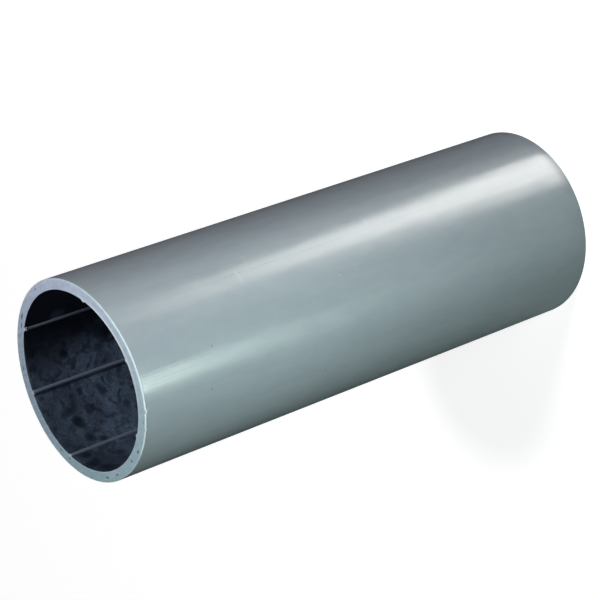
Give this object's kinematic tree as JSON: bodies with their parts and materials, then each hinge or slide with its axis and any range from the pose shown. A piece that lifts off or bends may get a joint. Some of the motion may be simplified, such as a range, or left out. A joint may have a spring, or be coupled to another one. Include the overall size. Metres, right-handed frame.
{
  "type": "spacer sleeve",
  "caption": "Plain round plastic spacer sleeve with fine inner ribs and square-cut ends, slipped over a tie rod to hold two faces apart.",
  "frame": {"origin": "middle of the lower cut end, on the axis", "axes": "+Z along the axis, out of the upper cut end"},
  "size_m": [0.025, 0.025, 0.0727],
  "materials": {
    "sleeve": "satin extruded skin, whitened saw-cut ends"
  },
  "bodies": {
    "root": {"sleeve": "sleeve"}
  },
  "joints": []
}
